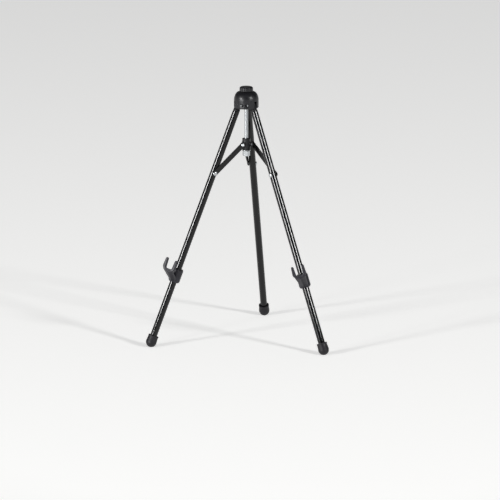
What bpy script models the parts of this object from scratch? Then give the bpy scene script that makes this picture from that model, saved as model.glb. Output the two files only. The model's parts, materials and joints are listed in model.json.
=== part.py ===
"""Tabletop display easel that opens like an umbrella.

Three enamelled tube legs hinge in a moulded crown. Flat steel struts join them to a runner that
slides on a post under the crown, so that the three legs spread and fold together. A moulded
holder on each front leg carries the lower edge of a picture in its hook.

Every leg has a frame of its own: its origin is on the hinge axis in the crown, +Z runs up the
leg, +X points away from the tripod's axis and +Y is the hinge axis.
"""

import math

import bmesh
import bpy
from mathutils import Matrix, Vector

MM = 0.001

# Fits
GAP = 0.3 * MM              # clearance between pieces that touch
ROUND_STEPS = 24            # facets around a turned piece
HOLE_STEPS = 16             # facets around a small hole or pin
CUT_MARGIN = 2 * MM         # how far a cutter passes the face it cuts

# Tripod
LEG_LENGTH = 356.8 * MM     # hinge axis to table, along the leg's axis
SPLAY = math.radians(21.5)  # leg from the vertical when open
HINGE_RADIUS = 11 * MM      # hinge axis from the tripod's axis
LEG_TURNS = {"left": math.radians(210), "right": math.radians(330), "rear": math.radians(90)}

# Leg tube and the plug in its top end
TUBE_OD = 9.5 * MM
TUBE_WALL = 0.9 * MM
TUBE_TOP = 10 * MM          # tube's top end below the hinge axis
PLUG_STEM = 12 * MM
PLUG_SHOULDER = 1.6 * MM
TONGUE_WIDTH = 8 * MM
TONGUE_THICKNESS = 4 * MM

# Rubber foot
FOOT_RADIUS = 7.4 * MM
FOOT_FLAT = 0.4 * MM        # how deep the resting flat cuts into the round end
FOOT_NECK_RADIUS = 6.9 * MM
FOOT_LIP_RADIUS = 7.2 * MM
FOOT_LIP = 1.5 * MM
FOOT_LENGTH = 17 * MM
FOOT_SOLE = 5.8 * MM        # rubber under the tube's end

# Crown
CROWN_RADIUS = 17 * MM
CROWN_BOTTOM = 5 * MM       # below the hinge axes
CROWN_SIDE = 5.5 * MM       # height of the straight side above the hinge axes
CROWN_TOP = 17.5 * MM
CROWN_TOP_RADIUS = 9.5 * MM
CROWN_PIN_RADIUS = 1.5 * MM
CROWN_PIN_INSET = 2 * MM     # how far each end of a pin lies inside the crown's side
NUT_SEAT = 11.5 * MM        # floor of the nut's pocket above the hinge axes
NUT_POCKET_RADIUS = 5.2 * MM
CAP_RADIUS = 9.3 * MM
CAP_TOP = 24 * MM
CAP_SPIGOT = 1.6 * MM       # how far the cap plugs into the nut's pocket

# Post with its nuts
POST_RADIUS = 2.5 * MM
POST_SHOULDER = 8 * MM      # where the post steps down to its thread, above the hinge axes
THREAD_RADIUS = 2 * MM
NUT_ACROSS_FLATS = 7 * MM
NUT_HEIGHT = 3.2 * MM
STOP_ACROSS_FLATS = 9 * MM
STOP_HEIGHT = 7 * MM
STOP_DEPTH = 5 * MM         # how far the post enters the stop nut
WASHER_RADIUS = 6 * MM
WASHER_THICKNESS = 1 * MM

# Struts, runner and their pins
STRUT_ON_LEG = 100 * MM     # rivet below the hinge axis, along the leg
STRUT_LENGTH = 55 * MM      # between the strut's two pivots
STRUT_WIDTH = 7 * MM
STRUT_THICKNESS = 1.5 * MM
STRUT_SLOT = 2.6 * MM       # play that the slot gives the rivet as the legs fold
RIVET_RADIUS = 1.5 * MM
RIVET_HEAD_RADIUS = 2.9 * MM
RIVET_HEAD = 1.2 * MM
RUNNER_RADIUS = 5.7 * MM
RUNNER_HEIGHT = 16 * MM
RUNNER_PIN_RADIUS = 1.25 * MM
RUNNER_PIN_HEAD_RADIUS = 2.3 * MM
RUNNER_PIVOT = 7 * MM       # runner's pivots from the post's axis
LUG_RADIUS = 2.8 * MM
LUG_INNER = 2.4 * MM        # lug's inner face from the leg's mid plane

# Picture holder
HOLDER_UP = 95.7 * MM       # collar's lower end above the table, along the leg
COLLAR_RADIUS = 8 * MM
COLLAR_HEIGHT = 19 * MM
COLLAR_ROUND = 3.5 * MM     # rounding of the collar's lower edge
COLLAR_LIP = 1.2 * MM       # height of the lip under the sleeve
SNAP_AT = 10 * MM           # middle of the bead that snaps into the sleeve's groove
SNAP_HEIGHT = 2.4 * MM
SNAP_DEPTH = 0.55 * MM
SLEEVE_WALL = 1 * MM
SLEEVE_FLANGE = 1 * MM
SLEEVE_FLANGE_RADIUS = 7.2 * MM
ARM_START = 5.5 * MM        # where the arm starts inside the collar, from the leg's axis
ARM_TOP = 6.8 * MM          # its upper face there, above the collar's lower end
ARM_SLOPE = math.radians(24.8)
ARM_ROOT_WIDTH = 10.4 * MM  # at its start and at the fork
ARM_FRONT_WIDTH = 15 * MM
ARM_ROOT_KEEL = 0.4 * MM    # lowest line of the arm, at its start and at the fork
ARM_FRONT_KEEL = 13.4 * MM
ARM_KEEL_RISE = 2.2 * MM    # the arm's lower edges above its keel
LAND_START = 10.5 * MM      # flat raised land on the arm that a picture's edge stands on
LAND_END = 24 * MM
LAND_WIDTH = 10 * MM
LAND_RISE = 0.4 * MM
FORK_REACH = 31 * MM        # front of the fork from the leg's axis
FORK_THICKNESS = 4.5 * MM
FORK_TOP = 32 * MM          # above the collar's lower end
FORK_WIDEST = 9.6 * MM      # half widths of the fork at its widest place and at its tips
FORK_TIPS = 8.9 * MM
NOTCH_RADIUS = 4.9 * MM
NOTCH_FLOOR = 16 * MM
NOTCH_RIM = 2.4 * MM        # fork under the notch
PRONG_WIDTH = 3.4 * MM      # at the tip
FORK_EDGE = 0.5 * MM        # rounding of the fork's edges
HOLDER_TURN = {"left": math.radians(-15), "right": math.radians(4)}

# Worked out from the sizes above
TUBE_RADIUS = TUBE_OD / 2
HINGE_HEIGHT = LEG_LENGTH * math.cos(SPLAY)
FOOT_CENTRE = LEG_LENGTH - (FOOT_RADIUS - FOOT_FLAT) / math.cos(SPLAY)
TUBE_BOTTOM = FOOT_CENTRE + FOOT_RADIUS - FOOT_SOLE
STRUT_INNER = TUBE_RADIUS + GAP
STRUT_OUTER = STRUT_INNER + STRUT_THICKNESS
SLEEVE_BORE = TUBE_RADIUS + GAP
SLEEVE_RADIUS = SLEEVE_BORE + SLEEVE_WALL
COLLAR_BORE = SLEEVE_RADIUS + GAP
RIVET_OUT = HINGE_RADIUS + STRUT_ON_LEG * math.sin(SPLAY)
RIVET_HEIGHT = HINGE_HEIGHT - STRUT_ON_LEG * math.cos(SPLAY)
STRUT_ANGLE = math.asin((RIVET_OUT - RUNNER_PIVOT) / STRUT_LENGTH)
RUNNER_CENTRE = RIVET_HEIGHT + STRUT_LENGTH * math.cos(STRUT_ANGLE)
WASHER_TOP = RUNNER_CENTRE - RUNNER_HEIGHT / 2 - GAP
STOP_TOP = WASHER_TOP - WASHER_THICKNESS - GAP


# Scene helpers

def clear_scene():
    """Removes what a new Blender file starts with."""
    for thing in list(bpy.data.objects):
        bpy.data.objects.remove(thing)


def new_collection(name):
    collection = bpy.data.collections.new(name)
    bpy.context.scene.collection.children.link(collection)
    return collection


def new_material(name, colour, roughness, metallic=0.0):
    material = bpy.data.materials.new(name)
    material.use_nodes = True
    shader = material.node_tree.nodes["Principled BSDF"]
    shader.inputs["Base Color"].default_value = (*colour, 1)
    shader.inputs["Roughness"].default_value = roughness
    shader.inputs["Metallic"].default_value = metallic
    return material


def new_empty(name, parent=None, location=(0, 0, 0), turn=(0, 0, 0)):
    empty = bpy.data.objects.new(name, None)
    PARTS.objects.link(empty)
    empty.parent = parent
    empty.location = location
    empty.rotation_euler = turn
    return empty


def add_object(name, mesh, parent, material=None, at=(0, 0, 0), turn=(0, 0, 0)):
    """Puts a mesh in the scene: a piece if it has a material, a cutter or guide if it has none."""
    thing = bpy.data.objects.new(name, mesh)
    thing.parent = parent
    thing.location = at
    thing.rotation_euler = turn
    if material:
        mesh.materials.append(material)
        PARTS.objects.link(thing)
    else:
        CUTTERS.objects.link(thing)
        thing.display_type = "WIRE"
        thing.hide_render = True
    return thing


def combine(thing, other, operation):
    """Adds an exact Boolean of one object with another."""
    step = thing.modifiers.new(f"{operation.lower()} {other.name}", "BOOLEAN")
    step.operation = operation
    step.solver = "EXACT"
    step.object = other


# Shape helpers

def arc(centre, radius, start, end, steps):
    """Points on an arc, with angles in degrees."""
    angles = [math.radians(start + (end - start) * i / steps) for i in range(steps + 1)]
    return [(centre[0] + radius * math.cos(a), centre[1] + radius * math.sin(a)) for a in angles]


def stadium(start, end, radius, steps=8):
    """Outline of a flat bar along X with round ends."""
    return arc((end, 0), radius, -90, 90, steps) + arc((start, 0), radius, 90, 270, steps)


def cylinder_mesh(name, radius, bottom, top, steps=HOLE_STEPS):
    """Solid cylinder along Z."""
    mesh = bpy.data.meshes.new(name)
    shape = bmesh.new()
    middle = Matrix.Translation((0, 0, (bottom + top) / 2))
    bmesh.ops.create_cone(
        shape, cap_ends=True, segments=steps, radius1=radius, radius2=radius,
        depth=top - bottom, matrix=middle,
    )
    shape.to_mesh(mesh)
    shape.free()
    return mesh


def box_mesh(name, low, high):
    """Box between two corners."""
    mesh = bpy.data.meshes.new(name)
    shape = bmesh.new()
    low, high = Vector(low), Vector(high)
    size = Matrix.Diagonal((*(high - low), 1))
    bmesh.ops.create_cube(shape, size=1, matrix=Matrix.Translation((low + high) / 2) @ size)
    shape.to_mesh(mesh)
    shape.free()
    return mesh


def turned(name, profile, parent, material=None, at=(0, 0, 0), closed=False, steps=ROUND_STEPS):
    """Turns (radius, height) points about Z. The profile runs down its outer side."""
    points = [(radius, 0, height) for radius, height in profile]
    edges = [(i, i + 1) for i in range(len(points) - 1)]
    if closed:
        edges.append((len(points) - 1, 0))
    mesh = bpy.data.meshes.new(name)
    mesh.from_pydata(points, edges, [])
    thing = add_object(name, mesh, parent, material, at)
    screw = thing.modifiers.new("turn", "SCREW")
    screw.axis = "Z"
    screw.angle = math.tau
    screw.steps = screw.render_steps = steps
    screw.use_merge_vertices = True
    screw.merge_threshold = 0.01 * MM
    return thing


def flat_mesh(name, outlines, thickness, edge=0.0):
    """Flat plate in XY, centred on Z: the first outline is its rim and the others are holes."""
    curve = bpy.data.curves.new(name, "CURVE")
    curve.dimensions = "2D"
    curve.fill_mode = "BOTH"
    curve.extrude = thickness / 2 - edge
    curve.bevel_depth = edge
    curve.bevel_resolution = 1
    curve.offset = -edge
    for outline in outlines:
        spline = curve.splines.new("POLY")
        spline.points.add(len(outline) - 1)
        for point, (x, y) in zip(spline.points, outline):
            point.co = (x, y, 0, 1)
        spline.use_cyclic_u = True
    guide = bpy.data.objects.new(name + " outline", curve)
    CUTTERS.objects.link(guide)
    graph = bpy.context.evaluated_depsgraph_get()
    mesh = bpy.data.meshes.new_from_object(guide.evaluated_get(graph))
    mesh.name = name
    bpy.data.objects.remove(guide)
    shape = bmesh.new()
    shape.from_mesh(mesh)
    bmesh.ops.remove_doubles(shape, verts=shape.verts, dist=0.001 * MM)
    bmesh.ops.recalc_face_normals(shape, faces=shape.faces)
    shape.to_mesh(mesh)
    shape.free()
    return mesh


def hole(name, parent, radius, start, end, at=(0, 0, 0), turn=(0, 0, 0)):
    """Cutter for a round hole along its own Z, from start to end."""
    mesh = cylinder_mesh(name, radius, start - CUT_MARGIN, end + CUT_MARGIN)
    return add_object(name, mesh, parent, at=at, turn=turn)


# Legs

def make_tube(side, leg):
    outer, inner = TUBE_RADIUS, TUBE_RADIUS - TUBE_WALL
    profile = [(outer, -TUBE_TOP), (outer, -TUBE_BOTTOM), (inner, -TUBE_BOTTOM), (inner, -TUBE_TOP)]
    tube = turned(f"leg_tube_{side}", profile, leg, ENAMEL, closed=True)
    rivet_hole = hole(
        f"rivet hole {side}", leg, RIVET_RADIUS + GAP, -TUBE_RADIUS, TUBE_RADIUS,
        at=(0, 0, -STRUT_ON_LEG), turn=ACROSS,
    )
    combine(tube, rivet_hole, "DIFFERENCE")


def make_plug(side, leg):
    """Plug in the tube's top, with a tongue that hinges in the crown."""
    stem = TUBE_RADIUS - TUBE_WALL - GAP
    seat = -TUBE_TOP + GAP
    shoulder = seat + PLUG_SHOULDER
    profile = [
        (0, shoulder), (TUBE_RADIUS, shoulder), (TUBE_RADIUS, seat), (stem, seat),
        (stem, seat - PLUG_STEM), (0, seat - PLUG_STEM),
    ]
    plug = turned(f"leg_plug_{side}", profile, leg, MOULDING)
    half = TONGUE_WIDTH / 2
    outline = arc((0, 0), half, 0, 180, 12) + [(-half, seat), (half, seat)]
    plate = flat_mesh(f"tongue {side}", [outline], TONGUE_THICKNESS)
    tongue = add_object(f"tongue {side}", plate, leg, turn=UPRIGHT)
    combine(plug, tongue, "UNION")
    pin_hole = hole(
        f"tongue hole {side}", leg, CROWN_PIN_RADIUS + GAP, -TONGUE_THICKNESS, TONGUE_THICKNESS,
        turn=ACROSS,
    )
    combine(plug, pin_hole, "DIFFERENCE")


def make_foot(side, leg, table):
    """Rubber tip with a lip, a slight neck and a round end, cut flat where it stands."""
    top = FOOT_LENGTH - FOOT_RADIUS
    edge = 0.4 * MM
    neck = top - FOOT_LIP - edge
    swelling = FOOT_RADIUS - FOOT_NECK_RADIUS
    lip = [
        (FOOT_LIP_RADIUS - edge, top), (FOOT_LIP_RADIUS, top - edge),
        (FOOT_LIP_RADIUS, top - FOOT_LIP + edge), (FOOT_LIP_RADIUS - edge, top - FOOT_LIP),
    ]
    side_line = [
        (FOOT_NECK_RADIUS + swelling * (1 + math.cos(math.pi * t)) / 2, neck * t)
        for t in (1, 0.75, 0.5, 0.25)
    ]
    round_end = arc((0, 0), FOOT_RADIUS, 0, -90, 8)[:-1] + [(0, -FOOT_RADIUS)]
    bore = TUBE_RADIUS + GAP
    floor = FOOT_SOLE - FOOT_RADIUS - GAP
    socket = [(0, floor), (bore, floor), (bore, top)]
    foot = turned(
        f"foot_{side}", socket + lip + side_line + round_end, leg, RUBBER, at=(0, 0, -FOOT_CENTRE)
    )
    combine(foot, table, "DIFFERENCE")


def make_rivet(side, leg):
    """Rivet across the tube that carries the strut beside it."""
    far = -TUBE_RADIUS - GAP
    near = STRUT_OUTER + GAP
    profile = [
        (0, near + RIVET_HEAD), (RIVET_HEAD_RADIUS * 0.6, near + RIVET_HEAD),
        (RIVET_HEAD_RADIUS, near + RIVET_HEAD * 0.4), (RIVET_HEAD_RADIUS, near),
        (RIVET_RADIUS, near), (RIVET_RADIUS, far), (RIVET_HEAD_RADIUS, far),
        (RIVET_HEAD_RADIUS, far - RIVET_HEAD * 0.6), (RIVET_HEAD_RADIUS * 0.6, far - RIVET_HEAD),
        (0, far - RIVET_HEAD),
    ]
    rivet = turned(f"strut_rivet_{side}", profile, leg, ZINC, at=(0, 0, -STRUT_ON_LEG), steps=HOLE_STEPS)
    rivet.rotation_euler = ACROSS


def make_leg(side, body, table):
    turn = LEG_TURNS[side]
    at = (HINGE_RADIUS * math.cos(turn), HINGE_RADIUS * math.sin(turn), HINGE_HEIGHT)
    leg = new_empty(f"leg axis {side}", body, at, (0, -SPLAY, turn))
    make_tube(side, leg)
    make_plug(side, leg)
    make_foot(side, leg, table)
    make_rivet(side, leg)
    return leg


# Crown, post and runner

def make_crown(body):
    """Moulded crown with a slot and a pin hole for each leg."""
    bottom = HINGE_HEIGHT - CROWN_BOTTOM
    side = HINGE_HEIGHT + CROWN_SIDE
    top = HINGE_HEIGHT + CROWN_TOP
    edge = 0.8 * MM
    rise, run = top - side, CROWN_RADIUS - CROWN_TOP_RADIUS
    dome = [
        (CROWN_TOP_RADIUS + run * math.cos(math.radians(a)), side + rise * math.sin(math.radians(a)))
        for a in range(90, -1, -15)
    ]
    profile = [(0, top)] + dome + [
        (CROWN_RADIUS, bottom + edge), (CROWN_RADIUS - edge, bottom), (0, bottom),
    ]
    crown = turned("hub", profile, body, MOULDING, steps=32)
    seat = HINGE_HEIGHT + NUT_SEAT
    shoulder = HINGE_HEIGHT + POST_SHOULDER
    bore = [
        (0, top + CUT_MARGIN), (NUT_POCKET_RADIUS, top + CUT_MARGIN), (NUT_POCKET_RADIUS, seat),
        (THREAD_RADIUS + GAP, seat), (THREAD_RADIUS + GAP, shoulder), (POST_RADIUS + GAP, shoulder),
        (POST_RADIUS + GAP, bottom - CUT_MARGIN), (0, bottom - CUT_MARGIN),
    ]
    combine(crown, turned("crown bore", bore, body), "DIFFERENCE")
    half = TONGUE_THICKNESS / 2 + GAP
    inner = HINGE_RADIUS - TONGUE_WIDTH / 2 - 1.5 * MM
    for leg_side, turn in LEG_TURNS.items():
        slot_box = box_mesh(
            f"slot {leg_side}", (inner, -half, -CROWN_BOTTOM - CUT_MARGIN),
            (CROWN_RADIUS + CUT_MARGIN, half, TONGUE_WIDTH / 2 + 1 * MM),
        )
        slot = add_object(f"slot {leg_side}", slot_box, body, at=(0, 0, HINGE_HEIGHT), turn=(0, 0, turn))
        combine(crown, slot, "DIFFERENCE")
        axis = new_empty(f"crown axis {leg_side}", body, (0, 0, HINGE_HEIGHT), (0, 0, turn))
        pin_hole = hole(
            f"crown pin hole {leg_side}", axis, CROWN_PIN_RADIUS + GAP, -CROWN_RADIUS, CROWN_RADIUS,
            at=(HINGE_RADIUS, 0, 0), turn=ACROSS,
        )
        combine(crown, pin_hole, "DIFFERENCE")
        half_pin = math.sqrt(CROWN_RADIUS ** 2 - HINGE_RADIUS ** 2) - CROWN_PIN_INSET
        pin = cylinder_mesh(f"hub_pin_{leg_side}", CROWN_PIN_RADIUS, -half_pin, half_pin)
        add_object(f"hub_pin_{leg_side}", pin, axis, ZINC, (HINGE_RADIUS, 0, 0), ACROSS)


def make_cap(body):
    """Round knob that plugs into the crown over the nut."""
    top = HINGE_HEIGHT + CAP_TOP
    under = HINGE_HEIGHT + CROWN_TOP + GAP
    spigot = HINGE_HEIGHT + CROWN_TOP - CAP_SPIGOT
    radius = NUT_POCKET_RADIUS - GAP
    edge = 2.2 * MM
    shoulder = arc((CAP_RADIUS - edge, top - edge), edge, 90, 0, 5)
    profile = [(0, top)] + shoulder + [
        (CAP_RADIUS, under + 0.4 * MM), (CAP_RADIUS - 0.4 * MM, under), (radius, under),
        (radius, spigot), (0, spigot),
    ]
    turned("hub_cap", profile, body, MOULDING, steps=32)


def hexagon(across_flats):
    return arc((0, 0), across_flats / math.sqrt(3), 0, 300, 5)


def make_post(body):
    """Post that hangs from a nut in the crown and carries the runner's stop at its lower end."""
    shoulder = HINGE_HEIGHT + POST_SHOULDER - GAP
    end = STOP_TOP - STOP_DEPTH + GAP
    thread_top = HINGE_HEIGHT + CROWN_TOP - CAP_SPIGOT - GAP
    bevel = 0.4 * MM
    profile = [
        (0, thread_top), (THREAD_RADIUS - bevel, thread_top), (THREAD_RADIUS, thread_top - bevel),
        (THREAD_RADIUS, shoulder), (POST_RADIUS, shoulder), (POST_RADIUS, end + bevel),
        (POST_RADIUS - bevel, end), (0, end),
    ]
    turned("post", profile, body, ZINC, steps=24)

    around_thread = arc((0, 0), THREAD_RADIUS + GAP, 0, 345, 23)
    nut_mesh = flat_mesh("post_nut", [hexagon(NUT_ACROSS_FLATS), around_thread], NUT_HEIGHT)
    nut_at = HINGE_HEIGHT + NUT_SEAT + GAP + NUT_HEIGHT / 2
    add_object("post_nut", nut_mesh, body, ZINC, (0, 0, nut_at))

    washer = [
        (WASHER_RADIUS, WASHER_TOP), (WASHER_RADIUS, WASHER_TOP - WASHER_THICKNESS),
        (POST_RADIUS + GAP, WASHER_TOP - WASHER_THICKNESS), (POST_RADIUS + GAP, WASHER_TOP),
    ]
    turned("post_washer", washer, body, ZINC, closed=True, steps=24)

    stop_mesh = flat_mesh("post_end_nut", [hexagon(STOP_ACROSS_FLATS)], STOP_HEIGHT)
    stop = add_object("post_end_nut", stop_mesh, body, ZINC, (0, 0, STOP_TOP - STOP_HEIGHT / 2))
    blind = cylinder_mesh("stop bore", POST_RADIUS + GAP, STOP_TOP - STOP_DEPTH, STOP_TOP + CUT_MARGIN, 24)
    combine(stop, add_object("stop bore", blind, body), "DIFFERENCE")


def make_runner(body):
    """Sleeve that slides on the post, with a lug for each strut."""
    half = RUNNER_HEIGHT / 2
    edge = 0.6 * MM
    profile = [
        (RUNNER_RADIUS - edge, half), (RUNNER_RADIUS, half - edge), (RUNNER_RADIUS, edge - half),
        (RUNNER_RADIUS - edge, -half), (POST_RADIUS + GAP, -half), (POST_RADIUS + GAP, half),
    ]
    runner_axis = new_empty("runner axis", body, (0, 0, RUNNER_CENTRE))
    runner = turned("runner", profile, runner_axis, MOULDING, closed=True)
    lug_outer = STRUT_INNER - GAP
    middle = (LUG_INNER + lug_outer) / 2
    start = RUNNER_PIVOT - 2.5 * MM
    for side, turn in LEG_TURNS.items():
        spoke = new_empty(f"runner spoke {side}", runner_axis, turn=(0, 0, turn))
        plate = flat_mesh(
            f"lug {side}", [stadium(start, RUNNER_PIVOT, LUG_RADIUS)], lug_outer - LUG_INNER
        )
        lug = add_object(f"lug {side}", plate, spoke, at=(0, middle, 0), turn=UPRIGHT)
        combine(runner, lug, "UNION")
        bore = RUNNER_PIN_RADIUS + GAP
        pin_hole = hole(
            f"lug hole {side}", spoke, bore, LUG_INNER, lug_outer, at=(RUNNER_PIVOT, 0, 0), turn=ACROSS
        )
        combine(runner, pin_hole, "DIFFERENCE")
        head = STRUT_OUTER + GAP
        pin = [
            (0, head + RIVET_HEAD), (RUNNER_PIN_HEAD_RADIUS * 0.6, head + RIVET_HEAD),
            (RUNNER_PIN_HEAD_RADIUS, head + RIVET_HEAD * 0.4), (RUNNER_PIN_HEAD_RADIUS, head),
            (RUNNER_PIN_RADIUS, head), (RUNNER_PIN_RADIUS, LUG_INNER), (0, LUG_INNER),
        ]
        shaft = turned(
            f"runner_pin_{side}", pin, spoke, ZINC, at=(RUNNER_PIVOT, 0, 0), steps=HOLE_STEPS
        )
        shaft.rotation_euler = ACROSS


def make_strut(side, body):
    """Flat link from the runner to a leg. Its origin is the runner's pivot and it runs along +X."""
    turn = LEG_TURNS[side]
    at = (RUNNER_PIVOT * math.cos(turn), RUNNER_PIVOT * math.sin(turn), RUNNER_CENTRE)
    link = new_empty(f"strut axis {side}", body, at, (0, math.pi / 2 - STRUT_ANGLE, turn))
    rim = stadium(0, STRUT_LENGTH, STRUT_WIDTH / 2)
    pivot = arc((0, 0), RUNNER_PIN_RADIUS + GAP, 0, 337.5, 15)
    slot = stadium(STRUT_LENGTH - STRUT_SLOT, STRUT_LENGTH, RIVET_RADIUS + GAP)
    plate = flat_mesh(f"strut_{side}", [rim, pivot, slot], STRUT_THICKNESS)
    middle = (STRUT_INNER + STRUT_OUTER) / 2
    add_object(f"strut_{side}", plate, link, ENAMEL, (0, middle, 0), UPRIGHT)


# Picture holders

def forward_turn(side):
    """Angle about the leg's axis from the leg's outward direction to straight forward.

    Forward is square to the plane through both front legs.
    """
    ups = {}
    for name in ("left", "right"):
        turn = LEG_TURNS[name]
        ups[name] = Vector((
            -math.sin(SPLAY) * math.cos(turn), -math.sin(SPLAY) * math.sin(turn), math.cos(SPLAY)
        ))
    forward = ups["left"].cross(ups["right"]).normalized()
    turn = LEG_TURNS[side]
    outward = Vector((
        math.cos(SPLAY) * math.cos(turn), math.cos(SPLAY) * math.sin(turn), math.sin(SPLAY)
    ))
    across = ups[side].cross(outward)
    if forward.y > 0:
        forward = -forward
    return math.atan2(forward.dot(across), forward.dot(outward))


def fork_outline():
    """Fork seen from the front: X across the holder and Y up the leg."""
    tip = PRONG_WIDTH / 2
    notch_centre = NOTCH_FLOOR + NOTCH_RADIUS
    rim = NOTCH_RADIUS + NOTCH_RIM
    widening = FORK_WIDEST - rim
    right = [
        ((rim + widening * max(0, math.sin(a)) ** 0.5) * math.sin(a),
         notch_centre - rim * math.cos(a))
        for a in (math.radians(12 * i) for i in range(9))
    ]
    right += arc((FORK_TIPS - tip, FORK_TOP - tip), tip, 0, 180, 8)
    right += arc((0, notch_centre), NOTCH_RADIUS, 0, -90, 7)
    left = [(-x, y) for x, y in reversed(right[1:-1])]
    return right + left


def arm_height(forward):
    """Height of the arm's upper face above the collar's lower end."""
    return ARM_TOP + (forward - ARM_START) * math.tan(ARM_SLOPE)


def make_arm(side, holder_axis):
    """Sloping arm that widens towards the fork, with a keel under it and a land on top."""
    verts = []
    for forward, width, keel in (
        (ARM_START, ARM_ROOT_WIDTH, ARM_ROOT_KEEL),
        (FORK_REACH - 0.3 * MM, ARM_FRONT_WIDTH, ARM_FRONT_KEEL),
    ):
        half = width / 2
        top = arm_height(forward)
        verts += [(forward, 0, keel), (forward, half, keel + ARM_KEEL_RISE), (forward, half, top)]
        verts += [(forward, -half, top), (forward, -half, keel + ARM_KEEL_RISE)]
    faces = [(i, (i + 1) % 5, (i + 1) % 5 + 5, i + 5) for i in range(5)]
    faces += [(4, 3, 2, 1, 0), (5, 6, 7, 8, 9)]
    mesh = bpy.data.meshes.new(f"arm {side}")
    mesh.from_pydata(verts, [], faces)
    arm = add_object(f"arm {side}", mesh, holder_axis)

    length = (LAND_END - LAND_START) / math.cos(ARM_SLOPE)
    land_axis = new_empty(
        f"land axis {side}", holder_axis, (LAND_START, 0, arm_height(LAND_START)), (0, -ARM_SLOPE, 0)
    )
    land_mesh = box_mesh(
        f"land {side}", (0, -LAND_WIDTH / 2, -1 * MM), (length, LAND_WIDTH / 2, LAND_RISE)
    )
    return arm, add_object(f"land {side}", land_mesh, land_axis)


def make_holder(side, leg):
    """Collar with a sloping arm and a fork, all one moulding. Its +X is the way it faces."""
    at = (0, 0, HOLDER_UP - LEG_LENGTH)
    turn = forward_turn(side) + HOLDER_TURN[side]
    holder_axis = new_empty(f"holder axis {side}", leg, at, (0, 0, turn))

    edge = 0.6 * MM
    collar = [(0, COLLAR_HEIGHT), (COLLAR_RADIUS - edge, COLLAR_HEIGHT)]
    collar += [(COLLAR_RADIUS, COLLAR_HEIGHT - edge)]
    collar += arc((COLLAR_RADIUS - COLLAR_ROUND, COLLAR_ROUND), COLLAR_ROUND, 0, -90, 5)
    collar += [(0, 0)]
    holder = turned(f"holder_{side}", collar, holder_axis, HOLDER_PLASTIC)

    for piece in make_arm(side, holder_axis):
        combine(holder, piece, "UNION")
    fork_mesh = flat_mesh(f"fork {side}", [fork_outline()], FORK_THICKNESS, FORK_EDGE)
    fork_at = (FORK_REACH - FORK_THICKNESS / 2, 0, 0)
    fork = add_object(f"fork {side}", fork_mesh, holder_axis, at=fork_at, turn=FACING)
    combine(holder, fork, "UNION")

    lip = SLEEVE_BORE + GAP
    bead = COLLAR_BORE - SNAP_DEPTH
    low, high = SNAP_AT - SNAP_HEIGHT / 2, SNAP_AT + SNAP_HEIGHT / 2
    above, below = COLLAR_HEIGHT + CUT_MARGIN, -CUT_MARGIN
    bore = [
        (0, above), (COLLAR_BORE, above), (COLLAR_BORE, high + SNAP_DEPTH / 2), (bead, high),
        (bead, low), (COLLAR_BORE, low - SNAP_DEPTH / 2), (COLLAR_BORE, COLLAR_LIP),
        (lip, COLLAR_LIP), (lip, below), (0, below),
    ]
    combine(holder, turned(f"collar bore {side}", bore, holder_axis), "DIFFERENCE")

    bottom = COLLAR_LIP + GAP
    flange = COLLAR_HEIGHT + GAP
    top = flange + SLEEVE_FLANGE
    groove = SLEEVE_RADIUS - SNAP_DEPTH
    sleeve = [
        (SLEEVE_FLANGE_RADIUS - 0.3 * MM, top), (SLEEVE_FLANGE_RADIUS, top - 0.3 * MM),
        (SLEEVE_FLANGE_RADIUS, flange), (SLEEVE_RADIUS, flange),
        (SLEEVE_RADIUS, high + SNAP_DEPTH / 2 + GAP), (groove, high + GAP),
        (groove, low - GAP), (SLEEVE_RADIUS, low - SNAP_DEPTH / 2 - GAP),
        (SLEEVE_RADIUS, bottom), (SLEEVE_BORE, bottom), (SLEEVE_BORE, top),
    ]
    turned(f"grip_sleeve_{side}", sleeve, holder_axis, MOULDING, closed=True)


# Assembly

def centre_on_footprint(body):
    """Moves the easel so that the middle of its footprint is on the origin."""
    bpy.context.view_layer.update()
    graph = bpy.context.evaluated_depsgraph_get()
    low, high = Vector((1e9,) * 3), Vector((-1e9,) * 3)
    for thing in PARTS.objects:
        if thing.type != "MESH":
            continue
        solid = thing.evaluated_get(graph)
        for vertex in solid.data.vertices:
            point = solid.matrix_world @ vertex.co
            low = Vector(map(min, low, point))
            high = Vector(map(max, high, point))
    middle = (low + high) / 2
    body.location = (body.location.x - middle.x, body.location.y - middle.y, 0)


ACROSS = (math.radians(-90), 0, 0)      # lays a piece's Z along the frame's Y
UPRIGHT = (math.radians(90), 0, 0)      # stands a flat plate in the frame's XZ plane
FACING = (math.radians(90), 0, math.radians(90))    # stands it up to face the frame's X

clear_scene()
PARTS = new_collection("display easel")
CUTTERS = new_collection("cutters and guides")
ENAMEL = new_material("black enamelled steel", (0.008, 0.008, 0.009), 0.16, 0.3)
MOULDING = new_material("black moulded nylon", (0.012, 0.012, 0.013), 0.38)
HOLDER_PLASTIC = new_material("charcoal moulded plastic", (0.03, 0.028, 0.036), 0.36)
RUBBER = new_material("black rubber", (0.022, 0.019, 0.024), 0.55)
ZINC = new_material("zinc plated steel", (0.55, 0.56, 0.58), 0.32, 1.0)


def make_easel():
    body = new_empty("easel axis")
    table_box = box_mesh("table top", (-0.3, -0.3, -0.05), (0.3, 0.3, 0))
    table = add_object("table top", table_box, body)
    make_crown(body)
    make_cap(body)
    make_post(body)
    make_runner(body)
    for side in LEG_TURNS:
        leg = make_leg(side, body, table)
        make_strut(side, body)
        if side in HOLDER_TURN:
            make_holder(side, leg)
    centre_on_footprint(body)
    for thing in PARTS.objects:
        if thing.type == "MESH":
            thing.data.shade_smooth()
            thing.data.set_sharp_from_angle(angle=math.radians(35))


make_easel()
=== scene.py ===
"""Looks of a tabletop display easel: black tube legs, moulded crown and holders, rubber feet.

Lengths are in metres. Every piece is made in its own frame, with +Z along its axis, and then
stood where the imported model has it.
"""

import json
import math

import bmesh
import bpy
from mathutils import Matrix, Vector


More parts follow.
